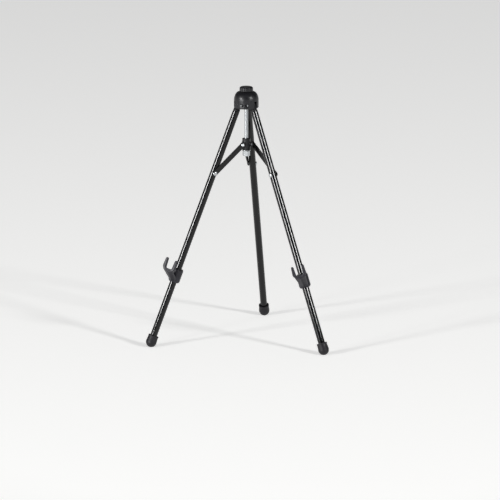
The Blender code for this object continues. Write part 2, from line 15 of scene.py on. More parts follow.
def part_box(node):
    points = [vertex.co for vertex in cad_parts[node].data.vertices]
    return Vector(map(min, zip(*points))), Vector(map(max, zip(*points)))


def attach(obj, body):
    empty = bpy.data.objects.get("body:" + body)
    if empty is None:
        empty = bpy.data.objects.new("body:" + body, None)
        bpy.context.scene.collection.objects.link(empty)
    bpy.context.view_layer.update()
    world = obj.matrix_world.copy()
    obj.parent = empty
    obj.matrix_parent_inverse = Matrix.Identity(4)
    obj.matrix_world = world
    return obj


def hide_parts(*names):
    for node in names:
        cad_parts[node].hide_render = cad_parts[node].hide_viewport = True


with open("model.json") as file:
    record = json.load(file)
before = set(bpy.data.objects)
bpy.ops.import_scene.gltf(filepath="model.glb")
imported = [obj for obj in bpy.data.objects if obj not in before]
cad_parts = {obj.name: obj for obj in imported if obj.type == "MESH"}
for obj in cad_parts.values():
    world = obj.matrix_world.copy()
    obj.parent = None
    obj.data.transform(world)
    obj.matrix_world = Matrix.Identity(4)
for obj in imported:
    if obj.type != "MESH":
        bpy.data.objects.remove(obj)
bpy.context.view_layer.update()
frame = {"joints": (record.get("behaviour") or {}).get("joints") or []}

MM = 0.001
SIDES = ("left", "right", "rear")
FRONT = ("left", "right")


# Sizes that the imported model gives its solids

SPLAY = math.radians(21.5)      # lean of the legs
LEG_LENGTH = 356.8 * MM         # from the hinge axis to the table, along the leg
HINGE_RADIUS = 11 * MM          # from the tripod's axis to the hinge axes
TUBE_RADIUS = 4.75 * MM
TUBE_WALL = 0.9 * MM
TUBE_TOP = 10 * MM              # below the hinge axis
GAP = 0.3 * MM                  # between pieces that touch
CROWN_RADIUS = 17 * MM
CROWN_PIN_RADIUS = 1.5 * MM
POST_RADIUS = 2.5 * MM
THREAD_RADIUS = 2 * MM
FOOT_RADIUS = 7.4 * MM
FOOT_FLAT = 0.4 * MM            # what the round end has lost to the table
FOOT_CENTRE = LEG_LENGTH - (FOOT_RADIUS - FOOT_FLAT) / math.cos(SPLAY)
FOOT_LENGTH = 17 * MM
FOOT_SOLE = 5.8 * MM            # rubber under the tube's end
FOOT_LIP = 1.5 * MM
FOOT_LIP_RADIUS = 7.2 * MM
FOOT_NECK_RADIUS = 6.9 * MM
STRUT_ON_LEG = 100 * MM         # from the hinge axis to the strut's rivet
STRUT_LENGTH = 55 * MM          # between its pivots
STRUT_INNER = TUBE_RADIUS + GAP
STRUT_THICKNESS = 1.5 * MM
STRUT_OUTER = STRUT_INNER + STRUT_THICKNESS
RIVET_RADIUS = 1.5 * MM
RUNNER_PIVOT = 7 * MM           # from the post's axis to the struts' pivots
RUNNER_PIN_RADIUS = 1.25 * MM
LUG_INNER = 2.4 * MM            # from a leg's plane to the near side of the runner's lug
HOLDER_TURN = {"left": math.radians(-15), "right": math.radians(4)}
COLLAR_RADIUS = 8 * MM
COLLAR_HEIGHT = 19 * MM
COLLAR_ROUND = 3.5 * MM
SLEEVE_RADIUS = 6.05 * MM
ARM_START = 5.5 * MM            # from the collar's axis
ARM_TOP = 6.8 * MM              # upper face there, above the collar's lower end
ARM_SLOPE = math.radians(24.8)
FORK_REACH = 31 * MM            # from the collar's axis to the fork's front
FORK_THICKNESS = 4.5 * MM
FORK_TOP = 32 * MM
FORK_WIDEST = 9.6 * MM          # from the fork's middle, like the tips
FORK_TIPS = 8.9 * MM
FORK_PRONG = 3.4 * MM
NOTCH_RADIUS = 4.9 * MM
NOTCH_FLOOR = 16 * MM
NOTCH_RIM = 2.4 * MM

JOINTS = {joint["name"]: joint for joint in frame["joints"]}
HINGE_HEIGHT = JOINTS["fold_rear"]["pos_m"][2]
RUNNER_CENTRE = JOINTS["link_rear_turn"]["pos_m"][2]
AXIS_Y = JOINTS["fold_rear"]["pos_m"][1] - HINGE_RADIUS


# Frames of the easel's pieces

def frame_at(origin, x_axis, z_axis):
    """Matrix of a frame with these axes, its Y square to both."""
    x_axis, z_axis = Vector(x_axis).normalized(), Vector(z_axis).normalized()
    y_axis = z_axis.cross(x_axis)
    turn = Matrix((x_axis, y_axis, z_axis)).transposed().to_4x4()
    return Matrix.Translation(Vector(origin)) @ turn


def outward(side):
    """Level direction from the tripod's axis to a leg."""
    axis = Vector(JOINTS[f"fold_{side}"]["axis"])
    return Vector((axis.y, -axis.x, 0))


def leg_frame(side):
    """On the leg's hinge axis, with +Z up the leg and +X outward."""
    out = outward(side)
    up = Vector((0, 0, 1))
    return frame_at(
        JOINTS[f"fold_{side}"]["pos_m"],
        out * math.cos(SPLAY) + up * math.sin(SPLAY),
        up * math.cos(SPLAY) - out * math.sin(SPLAY),
    )


def post_frame(height, side="rear"):
    """On the tripod's axis, with +X towards a leg."""
    return frame_at((0, AXIS_Y, height), outward(side), (0, 0, 1))


def strut_frame(side):
    """On the runner's pivot, with +X along the strut and +Y along the pivot."""
    start = Vector(JOINTS[f"link_{side}_turn"]["pos_m"])
    end = leg_frame(side) @ Vector((0, 0, -STRUT_ON_LEG))
    along = end - start
    return frame_at(start, along, along.cross(Vector(JOINTS[f"link_{side}_turn"]["axis"])))


def holder_frame(side):
    """At the collar's lower end, with +Z up the leg and +X towards the fork."""
    ups = [Vector(JOINTS[f"grip_{name}_slide"]["axis"]) for name in FRONT]
    forward = ups[1].cross(ups[0]).normalized()
    if forward.y > 0:
        forward = -forward
    joint = JOINTS[f"hook_{side}_swivel"]
    turn = Matrix.Rotation(HOLDER_TURN[side], 3, Vector(joint["axis"]))
    return frame_at(joint["pos_m"], turn @ forward, joint["axis"])


# Shapes

def arc(centre, radius, start, end, steps):
    """Points on an arc, with angles in degrees."""
    angles = [math.radians(start + (end - start) * i / steps) for i in range(steps + 1)]
    return [(centre[0] + radius * math.cos(a), centre[1] + radius * math.sin(a)) for a in angles]


def stadium(start, end, radius, steps=24):
    """Outline of a flat bar along X with round ends."""
    return arc((end, 0), radius, -90, 90, steps) + arc((start, 0), radius, 90, 270, steps)


def rounded(points, radii, closed=False, steps=5):
    """Rounds the corners of a line, each by its own radius."""
    if not isinstance(radii, (list, tuple)):
        radii = [radii] * len(points)
    line = []
    for i, radius in enumerate(radii):
        here = Vector(points[i])
        if radius <= 0 or (not closed and i in (0, len(points) - 1)):
            line.append(tuple(here))
            continue
        before = Vector(points[i - 1]) - here
        after = Vector(points[(i + 1) % len(points)]) - here
        half = before.angle(after) / 2
        reach = min(radius / math.tan(half), 0.49 * before.length, 0.49 * after.length)
        before.normalize()
        after.normalize()
        middle = here + (before + after).normalized() * reach / math.cos(half)
        start, end = here + before * reach - middle, here + after * reach - middle
        sweep = start.angle_signed(end)
        for k in range(steps + 1):
            line.append(tuple(middle + Matrix.Rotation(-sweep * k / steps, 2) @ start))
    return line


def mesh_from(name, shape):
    """Mesh of a bmesh with clean, outward faces."""
    bmesh.ops.remove_doubles(shape, verts=shape.verts, dist=0.002 * MM)
    bmesh.ops.recalc_face_normals(shape, faces=shape.faces)
    mesh = bpy.data.meshes.new(name)
    shape.to_mesh(mesh)
    shape.free()
    return mesh


def turned_mesh(name, profile, closed=False, steps=72):
    """Turns (radius, height) points about Z."""
    shape = bmesh.new()
    verts = [shape.verts.new((radius, 0, height)) for radius, height in profile]
    edges = [shape.edges.new(pair) for pair in zip(verts, verts[1:])]
    if closed:
        edges.append(shape.edges.new((verts[-1], verts[0])))
    bmesh.ops.spin(
        shape, geom=verts + edges, cent=(0, 0, 0), axis=(0, 0, 1), angle=math.tau, steps=steps
    )
    return mesh_from(name, shape)


def drill_mesh(radius, low, high, steps):
    """Cutter for a round hole along Z."""
    return turned_mesh("hole", [(0, high), (radius, high), (radius, low), (0, low)], steps=steps)


def plate_mesh(name, outlines, thickness, edge=0.0, steps=3):
    """Flat plate centred on XY: the first outline is its rim and the others are holes."""
    curve = bpy.data.curves.new(name, "CURVE")
    curve.dimensions = "2D"
    curve.fill_mode = "BOTH"
    curve.extrude = thickness / 2 - edge
    curve.bevel_depth = edge
    curve.bevel_resolution = steps
    curve.offset = -edge
    for outline in outlines:
        spline = curve.splines.new("POLY")
        spline.points.add(len(outline) - 1)
        for point, (x, y) in zip(spline.points, outline):
            point.co = (x, y, 0, 1)
        spline.use_cyclic_u = True
    guide = bpy.data.objects.new(name, curve)
    bpy.context.scene.collection.objects.link(guide)
    graph = bpy.context.evaluated_depsgraph_get()
    flat = bpy.data.meshes.new_from_object(guide.evaluated_get(graph))
    bpy.data.objects.remove(guide)
    shape = bmesh.new()
    shape.from_mesh(flat)
    bpy.data.meshes.remove(flat)
    return mesh_from(name, shape)


def new_object(name, mesh, matrix=None):
    thing = bpy.data.objects.new(name, mesh)
    bpy.context.scene.collection.objects.link(thing)
    if matrix is not None:
        thing.matrix_world = matrix
    return thing


def settled(thing):
    """Replaces an object's mesh by what its modifiers make of it."""
    bpy.context.view_layer.update()
    graph = bpy.context.evaluated_depsgraph_get()
    mesh = bpy.data.meshes.new_from_object(thing.evaluated_get(graph))
    thing.modifiers.clear()
    thing.data = mesh
    return thing


def moulding_mesh(name, solids, cuts, voxel, rounds=6):
    """Joins solids, cuts others away and softens every edge, as a mould's radii do.

    Solids and cuts are meshes with the matrix that places each.
    """
    helpers = [new_object(name, mesh, matrix) for mesh, matrix in solids + cuts]
    body = helpers[0]
    for helper in helpers[1:]:
        step = body.modifiers.new("join or cut", "BOOLEAN")
        step.operation = "UNION" if helper in helpers[: len(solids)] else "DIFFERENCE"
        step.solver = "EXACT"
        step.object = helper
    settled(body)
    remesh = body.modifiers.new("even faces", "REMESH")
    remesh.mode = "VOXEL"
    remesh.voxel_size = voxel
    soften = body.modifiers.new("soft edges", "SMOOTH")
    soften.factor = 0.5
    soften.iterations = rounds
    mesh = settled(body).data
    for helper in helpers:
        bpy.data.objects.remove(helper)
    mesh.name = name
    return mesh


IN_PLACE = Matrix.Identity(4)
ACROSS = Matrix.Rotation(math.radians(-90), 4, "X")     # lays a piece's Z along Y
UPRIGHT = Matrix.Rotation(math.radians(90), 4, "X")     # stands a flat plate in the XZ plane
FACING = Matrix.Rotation(math.radians(90), 4, "Z") @ UPRIGHT    # stands it up to face X


def shift(x=0.0, y=0.0, z=0.0):
    return Matrix.Translation((x, y, z))


def finish_piece(name, mesh, matrix, material, body, slot, *nodes, sharp=40):
    """Stands a piece in place, gives it its finish and lets it ride on its body."""
    piece = new_object(name, mesh, matrix)
    mesh.materials.clear()
    mesh.materials.append(material)
    mesh.shade_smooth()
    mesh.set_sharp_from_angle(angle=math.radians(sharp))
    shading = piece.modifiers.new("flat faces keep their shading", "WEIGHTED_NORMAL")
    shading.keep_sharp = True
    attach(piece, body)
    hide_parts(*nodes)
    return piece


# Materials

def linear(hex_colour):
    """Turns an sRGB hex colour such as "1c1b20" to linear RGBA."""
    values = [int(hex_colour[i:i + 2], 16) / 255 for i in (0, 2, 4)]
    return [v / 12.92 if v <= 0.04045 else ((v + 0.055) / 1.055) ** 2.4 for v in values] + [1]


def add(owner, kind, inputs=None, **settings):
    """Adds a shader node and gives its outputs. Inputs are values, or outputs that link to them."""
    tree = owner.node_tree
    node = tree.nodes.new("ShaderNode" + kind)
    for setting, value in settings.items():
        setattr(node, setting, value)
    for socket, value in (inputs or {}).items():
        if isinstance(value, bpy.types.NodeSocket):
            tree.links.new(value, node.inputs[socket])
        else:
            node.inputs[socket].default_value = value
    return node.outputs


def bare_material(name):
    material = bpy.data.materials.new(name)
    material.use_nodes = True
    material.node_tree.nodes.clear()
    return material


def between(low, high, pattern, start=0.3, end=0.7):
    """Settings that map the middle of a pattern's values onto a range."""
    return {"Value": pattern, "From Min": start, "From Max": end, "To Min": low, "To Max": high}


def finished(material, surface):
    """Closes a material with its Principled surface."""
    shader = add(material, "BsdfPrincipled", surface)["BSDF"]
    add(material, "OutputMaterial", {"Surface": shader})
    return material


def stoved_black_enamel():
    """Stoved gloss enamel on drawn tube: deep black with sharp, slightly wavy reflections."""
    paint = bare_material("stoved black enamel")
    place = add(paint, "TexCoord")["Object"]
    along = add(paint, "Mapping", {"Vector": place, "Scale": (1, 1, 0.03)})["Vector"]
    patches = add(paint, "TexNoise", {"Vector": place, "Scale": 1 / (18 * MM)})["Fac"]
    dust = add(paint, "TexNoise", {"Vector": place, "Scale": 1 / (1.4 * MM), "Detail": 4})["Fac"]
    peel = add(paint, "TexNoise", {"Vector": place, "Scale": 1 / (2.2 * MM), "Detail": 1})["Fac"]
    lines = add(paint, "TexNoise", {"Vector": along, "Scale": 1 / (0.7 * MM)})["Fac"]
    wavy = add(paint, "Bump", {"Height": peel, "Distance": 0.005 * MM})["Normal"]
    drawn = add(paint, "Bump", {"Height": lines, "Distance": 0.003 * MM, "Normal": wavy})["Normal"]
    blacks = {0: patches, 6: linear("040405"), 7: linear("0d0d0f")}
    return finished(paint, {
        "Base Color": add(paint, "Mix", blacks, data_type="RGBA")[2],
        "Roughness": add(paint, "MapRange", between(0.05, 0.1, dust, 0.35, 0.75))["Result"],
        "IOR": 1.42,
        "Normal": drawn,
    })


def charcoal_moulded_abs():
    """Injection-moulded ABS with a spark-eroded grain: satin charcoal with a violet cast.

    Convex corners, found by pointiness, are a little shinier, and a little paler as a painted
    highlight along the moulded edges.
    """
    plastic = bare_material("charcoal moulded ABS")
    place = add(plastic, "TexCoord")["Object"]
    drawn = add(plastic, "Mapping", {"Vector": place, "Scale": (0.5, 1, 1)})["Vector"]
    flow = add(plastic, "TexNoise", {"Vector": drawn, "Scale": 1 / (9 * MM), "Detail": 3})["Fac"]
    rubbed = add(plastic, "TexNoise", {"Vector": place, "Scale": 1 / (5 * MM), "Detail": 3})["Fac"]
    # 0.15 mm grit, drawn coarser to show
    grain = add(plastic, "TexNoise", {"Vector": place, "Scale": 1 / (0.35 * MM), "Detail": 3})["Fac"]
    corner = add(plastic, "NewGeometry")["Pointiness"]
    # convex corners: mask for a painted edge highlight in the colour and for a lower roughness
    convex_corner_mask = add(plastic, "MapRange", between(0, 1, corner, 0.52, 0.6))["Result"]
    charcoals = {0: flow, 6: linear("19181f"), 7: linear("2a2931")}
    colour = add(plastic, "Mix", charcoals, data_type="RGBA")[2]
    # painted highlight: a paler charcoal on convex corners
    painted_corner_highlight = {0: convex_corner_mask, 6: colour, 7: linear("34333a")}
    satin = add(plastic, "MapRange", between(0.42, 0.54, rubbed))["Result"]
    return finished(plastic, {
        "Base Color": add(plastic, "Mix", painted_corner_highlight, data_type="RGBA")[2],
        "Roughness": add(plastic, "Mix", {0: convex_corner_mask, 2: satin, 3: 0.34})[0],
        "IOR": 1.45,
        "Normal": add(plastic, "Bump", {"Height": grain, "Distance": 0.035 * MM})["Normal"],
    })


def black_moulded_nylon():
    """Injection-moulded nylon: a close satin black with a fine even grain."""
    plastic = bare_material("black moulded nylon")
    place = add(plastic, "TexCoord")["Object"]
    flow = add(plastic, "TexNoise", {"Vector": place, "Scale": 1 / (7 * MM), "Detail": 3})["Fac"]
    rubbed = add(plastic, "TexNoise", {"Vector": place, "Scale": 1 / (4 * MM), "Detail": 3})["Fac"]
    # 0.2 mm grit, drawn coarser to show
    grain = add(plastic, "TexNoise", {"Vector": place, "Scale": 1 / (0.4 * MM), "Detail": 3})["Fac"]
    blacks = {0: flow, 6: linear("111114"), 7: linear("1e1e22")}
    return finished(plastic, {
        "Base Color": add(plastic, "Mix", blacks, data_type="RGBA")[2],
        "Roughness": add(plastic, "MapRange", between(0.3, 0.44, rubbed))["Result"],
        "IOR": 1.45,
        "Normal": add(plastic, "Bump", {"Height": grain, "Distance": 0.035 * MM})["Normal"],
    })


def black_moulded_rubber():
    """Moulded rubber: soft violet black, dull where it is scuffed, with a broad faint sheen."""
    rubber = bare_material("black moulded rubber")
    place = add(rubber, "TexCoord")["Object"]
    bloom = add(rubber, "TexNoise", {"Vector": place, "Scale": 1 / (5 * MM), "Detail": 4})["Fac"]
    # 0.2 mm pores, drawn coarser to show
    pores = add(rubber, "TexNoise", {"Vector": place, "Scale": 1 / (0.45 * MM), "Detail": 3})["Fac"]
    blacks = {0: bloom, 6: linear("0c0b0f"), 7: linear("1c1a20")}
    return finished(rubber, {
        "Base Color": add(rubber, "Mix", blacks, data_type="RGBA")[2],
        "Roughness": add(rubber, "MapRange", between(0.42, 0.6, bloom))["Result"],
        "IOR": 1.42,
        "Normal": add(rubber, "Bump", {"Height": pores, "Distance": 0.025 * MM})["Normal"],
    })


def zinc_plated_steel():
    """Bright zinc on turned and stamped steel: pale, slightly blue, with fine tool lines."""
    metal = bare_material("zinc plated steel")
    place = add(metal, "TexCoord")["Object"]
    across = add(metal, "Mapping", {"Vector": place, "Scale": (0.1, 1, 1)})["Vector"]
    cloud = add(metal, "TexNoise", {"Vector": place, "Scale": 1 / (3 * MM), "Detail": 3})["Fac"]
    # 0.1 mm tool lines, drawn coarser to show
    lines = add(metal, "TexNoise", {"Vector": across, "Scale": 1 / (0.25 * MM), "Detail": 3})["Fac"]
    greys = {0: cloud, 6: linear("b0b4b8"), 7: linear("d3d6d7")}
    return finished(metal, {
        "Base Color": add(metal, "Mix", greys, data_type="RGBA")[2],
        "Metallic": 1.0,
        "Roughness": add(metal, "MapRange", between(0.22, 0.4, lines))["Result"],
        "Normal": add(metal, "Bump", {"Height": lines, "Distance": 0.008 * MM})["Normal"],
    })


ENAMEL = stoved_black_enamel()
ABS = charcoal_moulded_abs()
NYLON = black_moulded_nylon()
RUBBER = black_moulded_rubber()
ZINC = zinc_plated_steel()


# Legs

def make_tube(side):
    bottom = -(FOOT_CENTRE + FOOT_RADIUS - FOOT_SOLE)
    inner = TUBE_RADIUS - TUBE_WALL
    profile = [
        (TUBE_RADIUS, -TUBE_TOP), (TUBE_RADIUS, bottom), (inner, bottom), (inner, -TUBE_TOP)
    ]
    mesh = turned_mesh("tube", rounded(profile, 0.3 * MM, closed=True), closed=True, steps=96)
    finish_piece(
        f"enamelled_tube_{side}", mesh, leg_frame(side), ENAMEL, f"leg_{side}", "black_enamel",
        f"leg_tube_{side}",
    )


def make_foot(side):
    """Rubber tip: lip, slight neck, swelling side, round end and worn flat."""
    top = FOOT_LENGTH - FOOT_RADIUS
    mouth = top - 2 * MM
    grip = TUBE_RADIUS + 0.12 * MM
    under_lip = top - FOOT_LIP
    neck = under_lip - 0.4 * MM
    swelling = FOOT_RADIUS - FOOT_NECK_RADIUS
    side_line = [
        (FOOT_NECK_RADIUS + swelling * (1 + math.cos(math.pi * t / 12)) / 2, neck * t / 12)
        for t in range(12, 0, -1)
    ]
    rim = [
        (grip, mouth), (grip, top), (FOOT_LIP_RADIUS, top), (FOOT_LIP_RADIUS, under_lip),
        (FOOT_NECK_RADIUS + 0.02 * MM, neck),
    ]
    rim = rounded(rim, [0, 0.25 * MM, 0.45 * MM, 0.45 * MM, 0])
    end = arc((0, 0), FOOT_RADIUS, 0, -90, 24)[:-1] + [(0, -FOOT_RADIUS)]
    profile = [(0, mouth)] + rim + side_line[1:] + end
    mesh = turned_mesh("foot", profile, steps=72)
    place = leg_frame(side) @ shift(z=-FOOT_CENTRE)
    shape = bmesh.new()
    shape.from_mesh(mesh)
    bmesh.ops.transform(shape, matrix=place, verts=shape.verts)
    cut = bmesh.ops.bisect_plane(
        shape, geom=shape.verts[:] + shape.edges[:] + shape.faces[:], plane_co=(0, 0, 0),
        plane_no=(0, 0, -1), clear_outer=True,
    )
    rim_edges = [e for e in cut["geom_cut"] if isinstance(e, bmesh.types.BMEdge)]
    bmesh.ops.contextual_create(shape, geom=rim_edges)
    bmesh.ops.transform(shape, matrix=place.inverted(), verts=shape.verts)
    mesh = mesh_from("foot", shape)
    finish_piece(
        f"rubber_foot_{side}", mesh, place, RUBBER, f"leg_{side}", "black_rubber", f"foot_{side}"
    )


def make_plug(side):
    stem = TUBE_RADIUS - TUBE_WALL - GAP
    seat = -TUBE_TOP + GAP
    shoulder = seat + 1.6 * MM
    end = seat - 12 * MM
    profile = [
        (0, shoulder), (TUBE_RADIUS, shoulder), (TUBE_RADIUS, seat), (stem, seat), (stem, end),
        (0, end),
    ]
    body = turned_mesh("plug", rounded(profile, 0.25 * MM), steps=64)
    half = 4 * MM
    outline = arc((0, 0), half, 0, 180, 24) + [(-half, seat), (half, seat)]
    tongue = plate_mesh("tongue", [outline], 4 * MM)
    hole = drill_mesh(CROWN_PIN_RADIUS + GAP, -half, half, 72)
    mesh = moulding_mesh("plug", [(body, IN_PLACE), (tongue, UPRIGHT)], [(hole, ACROSS)], 0.25 * MM, 3)
    finish_piece(
        f"end_plug_{side}", mesh, leg_frame(side), NYLON, f"leg_{side}", "black_nylon",
        f"leg_plug_{side}",
    )


def rivet_head(radius, height, foot):
    """Domed rivet head from its middle down to the top of its short straight rim."""
    dome = 0.85 * height
    bulge = (radius * radius + dome * dome) / (2 * dome)
    sweep = math.degrees(math.asin(radius / bulge))
    return arc((0, foot + height - bulge), bulge, 90, 90 - sweep, 10)


def make_rivet(side):
    near, far = STRUT_OUTER + GAP, -TUBE_RADIUS - GAP
    radius, head = 2.9 * MM, 1.2 * MM
    upper = rivet_head(radius, head, near)
    lower = [(r, far - (z - near)) for r, z in reversed(upper)]
    shank = [(radius, near), (RIVET_RADIUS, near), (RIVET_RADIUS, far), (radius, far)]
    profile = upper + shank + lower
    mesh = turned_mesh("rivet", profile, steps=48)
    place = leg_frame(side) @ shift(z=-STRUT_ON_LEG) @ ACROSS
    finish_piece(
        f"leg_rivet_{side}", mesh, place, ZINC, f"leg_{side}", "zinc_steel", f"strut_rivet_{side}"
    )


# Crown, post and runner

def make_crown():
    bottom, side, top = -5 * MM, 5.5 * MM, 17.5 * MM
    top_radius = 9.5 * MM
    dome = [
        (top_radius + (CROWN_RADIUS - top_radius) * math.cos(math.radians(a)),
         side + (top - side) * math.sin(math.radians(a)))
        for a in range(90, -1, -6)
    ]
    profile = [(0, top)] + dome + rounded(
        [(CROWN_RADIUS, 0), (CROWN_RADIUS, bottom), (0, bottom)], [0, 1.0 * MM, 0]
    )
    body = turned_mesh("crown", profile, steps=96)
    pocket, pocket_floor, shoulder = 5.2 * MM, 11.5 * MM, 8 * MM
    thread_hole, post_hole = THREAD_RADIUS + GAP, POST_RADIUS + GAP
    bore = turned_mesh("bore", [
        (0, top + MM), (pocket, top + MM), (pocket, pocket_floor), (thread_hole, pocket_floor),
        (thread_hole, shoulder), (post_hole, shoulder), (post_hole, bottom - MM), (0, bottom - MM),
    ])
    slot_inner, slot_outer = 5.5 * MM, CROWN_RADIUS + 2 * MM
    slot_low, slot_high = bottom - 2 * MM, 5 * MM
    cuts = [(bore, IN_PLACE)]
    for name in SIDES:
        turn = math.atan2(outward(name).y, outward(name).x)
        spoke = Matrix.Rotation(turn, 4, "Z")
        slot = plate_mesh("slot", [[
            (slot_inner, slot_low), (slot_outer, slot_low), (slot_outer, slot_high),
            (slot_inner, slot_high),
        ]], 4.6 * MM)
        hole = drill_mesh(CROWN_PIN_RADIUS + GAP, -CROWN_RADIUS, CROWN_RADIUS, 72)
        cuts += [(slot, spoke @ UPRIGHT), (hole, spoke @ shift(x=HINGE_RADIUS) @ ACROSS)]
    mesh = moulding_mesh("crown", [(body, IN_PLACE)], cuts, 0.4 * MM, 4)
    place = shift(0, AXIS_Y, HINGE_HEIGHT)
    finish_piece("crown", mesh, place, NYLON, "crown", "black_nylon", "hub")


def make_crown_pin(side):
    half = math.sqrt(CROWN_RADIUS ** 2 - HINGE_RADIUS ** 2) - 2 * MM
    radius = CROWN_PIN_RADIUS
    profile = rounded([(0, half), (radius, half), (radius, -half), (0, -half)], 0.4 * MM)
    mesh = turned_mesh("crown pin", profile, steps=32)
    place = post_frame(HINGE_HEIGHT, side) @ shift(x=HINGE_RADIUS) @ ACROSS
    finish_piece(
        f"crown_pin_{side}", mesh, place, ZINC, "crown", "zinc_steel", f"hub_pin_{side}"
    )


def make_knob():
    """Knob on the crown, with shallow finger flutes round its edge."""
    top, under, end = 24 * MM, 17.8 * MM, 15.9 * MM
    radius, spigot = 9.3 * MM, 4.9 * MM
    profile = rounded(
        [(0, top), (radius, top), (radius, under), (spigot, under), (spigot, end), (0, end)],
        [0, 2.2 * MM, 0.4 * MM, 0.2 * MM, 0.3 * MM, 0], steps=8,
    )
    body = turned_mesh("knob", profile, steps=96)
    flutes = []
    for i in range(12):
        turn = Matrix.Rotation(math.tau * i / 12, 4, "Z")
        flute = drill_mesh(1.2 * MM, under - 0.1 * MM, top + MM, 24)
        flutes.append((flute, turn @ shift(x=radius + 0.75 * MM)))
    mesh = moulding_mesh("knob", [(body, IN_PLACE)], flutes, 0.25 * MM, 3)
    place = shift(0, AXIS_Y, HINGE_HEIGHT)
    finish_piece("crown_knob", mesh, place, NYLON, "crown", "black_nylon", "hub_cap")


def make_turned_node(node, name, profile, material, body, slot, closed=False, steps=64):
    """Turned piece about the post's axis, with heights above the table."""
    mesh = turned_mesh(name, profile, closed, steps)
    finish_piece(name, mesh, shift(0, AXIS_Y, 0), material, body, slot, node)


def hexagon(across_flats):
    return arc((0, 0), across_flats / math.sqrt(3), 0, 300, 5)


def nut_mesh(name, across_flats, height, bore, blind=0.0):
    """Hexagon nut with both faces chamfered. A blind nut's bore stops above its lower face."""
    body = plate_mesh(name, [hexagon(across_flats)], height)
    corner = across_flats / math.sqrt(3)
    half = height / 2
    chamfer = turned_mesh("chamfer", [
        (0, half), (across_flats * 0.48, half), (corner * 1.02, half - 0.6 * MM),
        (corner * 1.02, 0.6 * MM - half), (across_flats * 0.48, -half), (0, -half),
    ])
    floor = blind - half if blind else -half - MM
    hole = drill_mesh(bore, floor, half + MM, 48)
    helpers = [new_object(name, mesh) for mesh in (body, chamfer, hole)]
    for helper, operation in zip(helpers[1:], ("INTERSECT", "DIFFERENCE")):
        step = helpers[0].modifiers.new(operation, "BOOLEAN")
        step.operation = operation
        step.object = helper
    mesh = settled(helpers[0]).data
    for helper in helpers:
        bpy.data.objects.remove(helper)
    return mesh


def make_post():
    low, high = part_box("post")
    shoulder = HINGE_HEIGHT + 8 * MM - GAP
    post_hole = POST_RADIUS + GAP
    profile = rounded([
        (0, high.z), (THREAD_RADIUS, high.z), (THREAD_RADIUS, shoulder), (POST_RADIUS, shoulder),
        (POST_RADIUS, low.z), (0, low.z),
    ], 0.3 * MM)
    make_turned_node("post", "guide_post", profile, ZINC, "crown", "zinc_steel")

    low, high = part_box("post_washer")
    rim = 6 * MM
    profile = rounded(
        [(rim, high.z), (rim, low.z), (post_hole, low.z), (post_hole, high.z)], 0.2 * MM, True
    )
    make_turned_node("post_washer", "stop_washer", profile, ZINC, "crown", "zinc_steel", True)

    low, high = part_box("post_nut")
    place = shift(0, AXIS_Y, (low.z + high.z) / 2)
    mesh = nut_mesh("nut", 7 * MM, high.z - low.z, THREAD_RADIUS + GAP)
    finish_piece("crown_nut", mesh, place, ZINC, "crown", "zinc_steel", "post_nut", sharp=25)

    low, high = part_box("post_end_nut")
    place = shift(0, AXIS_Y, (low.z + high.z) / 2)
    mesh = nut_mesh("stop nut", 9 * MM, high.z - low.z, post_hole, 2 * MM)
    finish_piece("stop_nut", mesh, place, ZINC, "crown", "zinc_steel", "post_end_nut", sharp=25)


def make_runner():
    half, radius, post_hole = 8 * MM, 5.7 * MM, POST_RADIUS + GAP
    profile = rounded(
        [(radius, half), (radius, -half), (post_hole, -half), (post_hole, half)], 0.6 * MM, True
    )
    body = turned_mesh("runner", profile, closed=True, steps=72)
    solids, cuts = [(body, IN_PLACE)], []
    for name in SIDES:
        spoke = Matrix.Rotation(math.atan2(outward(name).y, outward(name).x), 4, "Z")
        outline = stadium(4.5 * MM, RUNNER_PIVOT, 2.8 * MM)
        lug = plate_mesh("lug", [outline], TUBE_RADIUS - LUG_INNER)
        solids.append((lug, spoke @ shift(y=(LUG_INNER + TUBE_RADIUS) / 2) @ UPRIGHT))
        hole = drill_mesh(RUNNER_PIN_RADIUS + 0.15 * MM, LUG_INNER - 0.5 * MM, 6 * MM, 32)
        cuts.append((hole, spoke @ shift(x=RUNNER_PIVOT) @ ACROSS))
    mesh = moulding_mesh("runner", solids, cuts, 0.25 * MM, 3)
    place = shift(0, AXIS_Y, RUNNER_CENTRE)
    finish_piece("runner_sleeve", mesh, place, NYLON, "runner", "black_nylon", "runner")


def make_runner_pin(side):
    near, radius, head = STRUT_OUTER + GAP, 2.3 * MM, 1.2 * MM
    profile = rivet_head(radius, head, near)
    profile += [
        (radius, near), (RUNNER_PIN_RADIUS, near), (RUNNER_PIN_RADIUS, LUG_INNER), (0, LUG_INNER)
    ]
    mesh = turned_mesh("runner pin", profile, steps=40)
    place = post_frame(RUNNER_CENTRE, side) @ shift(x=RUNNER_PIVOT) @ ACROSS
    finish_piece(
        f"runner_rivet_{side}", mesh, place, ZINC, "runner", "zinc_steel", f"runner_pin_{side}"
    )


def make_strut(side):
    rim = stadium(0, STRUT_LENGTH, 3.5 * MM)
    pivot = arc((0, 0), RUNNER_PIN_RADIUS + GAP, 0, 345, 23)
    slot = stadium(STRUT_LENGTH - 2.6 * MM, STRUT_LENGTH, RIVET_RADIUS + GAP, 16)
    mesh = plate_mesh("strut", [rim, pivot, slot], STRUT_THICKNESS, 0.2 * MM)
    middle = (STRUT_INNER + STRUT_OUTER) / 2
    place = strut_frame(side) @ shift(y=middle) @ UPRIGHT
    finish_piece(
        f"strut_bar_{side}", mesh, place, ENAMEL, f"link_{side}", "black_enamel", f"strut_{side}"
    )


# Picture holders

